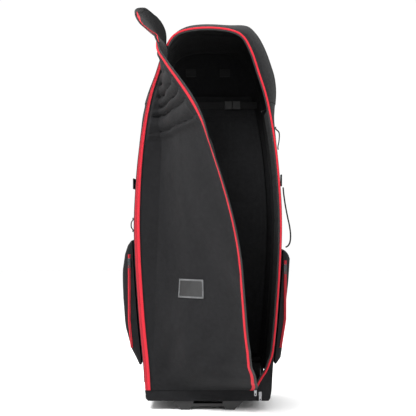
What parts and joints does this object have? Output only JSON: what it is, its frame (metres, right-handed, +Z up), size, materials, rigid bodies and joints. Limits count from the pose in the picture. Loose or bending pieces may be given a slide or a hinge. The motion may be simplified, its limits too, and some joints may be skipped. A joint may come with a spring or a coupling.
{
  "type": "golf travel case",
  "caption": "Tall soft-sided wheeled case for a golf bag, standing upright with its zipped front lid peeled open to one side.",
  "frame": {"origin": "on the floor under the centre of the open case's bounding box", "axes": "+Z up, -Y out of the front where the lid is, +X to the right seen from the front"},
  "size_m": [0.5745, 0.7772, 1.3053],
  "materials": {
    "black_fabric": "woven polyester",
    "grey_lining": "quilted lining",
    "red_zip_tape": "woven zip tape",
    "black_webbing": "ribbed webbing",
    "black_plastic": "textured",
    "wheel_rubber": "smooth",
    "steel": "satin",
    "window_vinyl": "clear film",
    "grey_piping": "vinyl edging"
  },
  "bodies": {
    "case": {"back_handle_anchor_left": "black_webbing", "back_handle_anchor_right": "black_webbing", "back_lining_pad": "grey_lining", "back_panel": "black_fabric", "base_tray": "black_plastic", "body_zip_tape": "red_zip_tape", "buckle_socket": "black_plastic", "foot_screw_left": "steel", "foot_screw_right": "steel", "front_foot": "black_plastic", "front_sill": "black_fabric", "inner_strap_left": "black_webbing", "inner_strap_right": "black_webbing", "left_axle": "steel", "left_lining_pad": "grey_lining", "left_pocket": "black_fabric", "left_pocket_zip": "red_zip_tape", "left_side_panel": "black_fabric", "left_side_strap": "black_webbing", "left_tab": "black_webbing", "left_wheel_housing": "black_plastic", "left_zip": "red_zip_tape", "lid_bottom_panel": "black_fabric", "lid_bottom_tape": "red_zip_tape", "lid_hinge_strip": "black_fabric", "main_slider_lower": "steel", "main_slider_upper": "steel", "padded_hood": "black_fabric", "right_axle": "steel", "right_lining_pad": "grey_lining", "right_pocket": "black_fabric", "right_pocket_zip": "red_zip_tape", "right_side_panel": "black_fabric", "right_tab": "black_webbing", "right_wheel_housing": "black_plastic", "side_strap_anchor": "black_webbing"},
    "lid": {"lid_main_panel": "black_fabric", "lid_main_tape": "red_zip_tape", "id_card": "grey_lining", "id_window": "window_vinyl", "id_frame": "grey_piping"},
    "lid_top": {"lid_top_panel": "black_fabric", "lid_top_tape": "red_zip_tape"},
    "left_wheel": {"left_wheel_tyre": "wheel_rubber", "left_wheel_hub": "black_plastic", "left_inner_bearing": "steel", "left_outer_bearing": "steel"},
    "left_pocket_slider": {"left_pocket_slider": "steel"},
    "left_pocket_pull": {"left_pocket_pull": "steel"},
    "right_wheel": {"right_wheel_tyre": "wheel_rubber", "right_wheel_hub": "black_plastic", "right_inner_bearing": "steel", "right_outer_bearing": "steel"},
    "right_pocket_slider": {"right_pocket_slider": "steel"},
    "right_pocket_pull": {"right_pocket_pull": "steel"},
    "main_pull_upper": {"main_pull_upper": "steel"},
    "main_pull_lower": {"main_pull_lower": "steel"},
    "side_strap": {"side_strap": "black_webbing"},
    "back_handle": {"back_handle": "black_webbing"},
    "buckle_plug": {"buckle_plug": "black_plastic"}
  },
  "joints": [
    {"name": "lid_open", "type": "hinge", "parent": "case", "child": "lid", "pos_m": [-0.143, 0.0045, 1.213], "axis": [-0.0392, 0, -0.9992], "range_deg": [-48, 28]},
    {"name": "lid_top_fold", "type": "hinge", "parent": "lid", "child": "lid_top", "pos_m": [-0.143, 0.0045, 1.213], "axis": [-0.106, 0.0745, -0.9916], "range_deg": [-44, 8]},
    {"name": "left_wheel_spin", "type": "hinge", "parent": "case", "child": "left_wheel", "pos_m": [-0.152, 0.3355, 0.045], "axis": [1, 0, 0], "continuous": true},
    {"name": "left_pocket_slider_travel", "type": "slide", "parent": "case", "child": "left_pocket_slider", "axis": [0, 0, 1], "range_m": [-0.17, 0]},
    {"name": "left_pocket_pull_swing", "type": "hinge", "parent": "left_pocket_slider", "child": "left_pocket_pull", "pos_m": [-0.2665, 0.03895, 0.5008], "axis": [-1, 0, 0], "range_deg": [0, 140]},
    {"name": "right_wheel_spin", "type": "hinge", "parent": "case", "child": "right_wheel", "pos_m": [0.152, 0.3355, 0.045], "axis": [1, 0, 0], "continuous": true},
    {"name": "right_pocket_slider_travel", "type": "slide", "parent": "case", "child": "right_pocket_slider", "axis": [0, 0, 1], "range_m": [-0.17, 0]},
    {"name": "right_pocket_pull_swing", "type": "hinge", "parent": "right_pocket_slider", "child": "right_pocket_pull", "pos_m": [0.261, 0.03895, 0.4808], "axis": [-1, 0, 0], "range_deg": [0, 140]},
    {"name": "main_pull_upper_swing", "type": "hinge", "parent": "case", "child": "main_pull_upper", "pos_m": [0.1585, -0.00275, 0.0753], "axis": [-1, 0, 0], "range_deg": [0, 140]},
    {"name": "main_pull_lower_swing", "type": "hinge", "parent": "case", "child": "main_pull_lower", "pos_m": [0.1745, -0.00275, 0.0568], "axis": [-1, 0, 0], "range_deg": [0, 140]},
    {"name": "side_strap_swing", "type": "hinge", "parent": "case", "child": "side_strap", "pos_m": [0.259, 0.1245, 0.748], "axis": [-0.0435, 0, 0.9991], "range_deg": [-12, 12]},
    {"name": "back_handle_swing", "type": "hinge", "parent": "case", "child": "back_handle", "pos_m": [0, 0.3805, 1.15], "axis": [1, 0, 0], "range_deg": [0, 110]},
    {"name": "buckle_release", "type": "slide", "parent": "case", "child": "buckle_plug", "axis": [1, 0, 0], "range_m": [0, 0.02]}
  ]
}
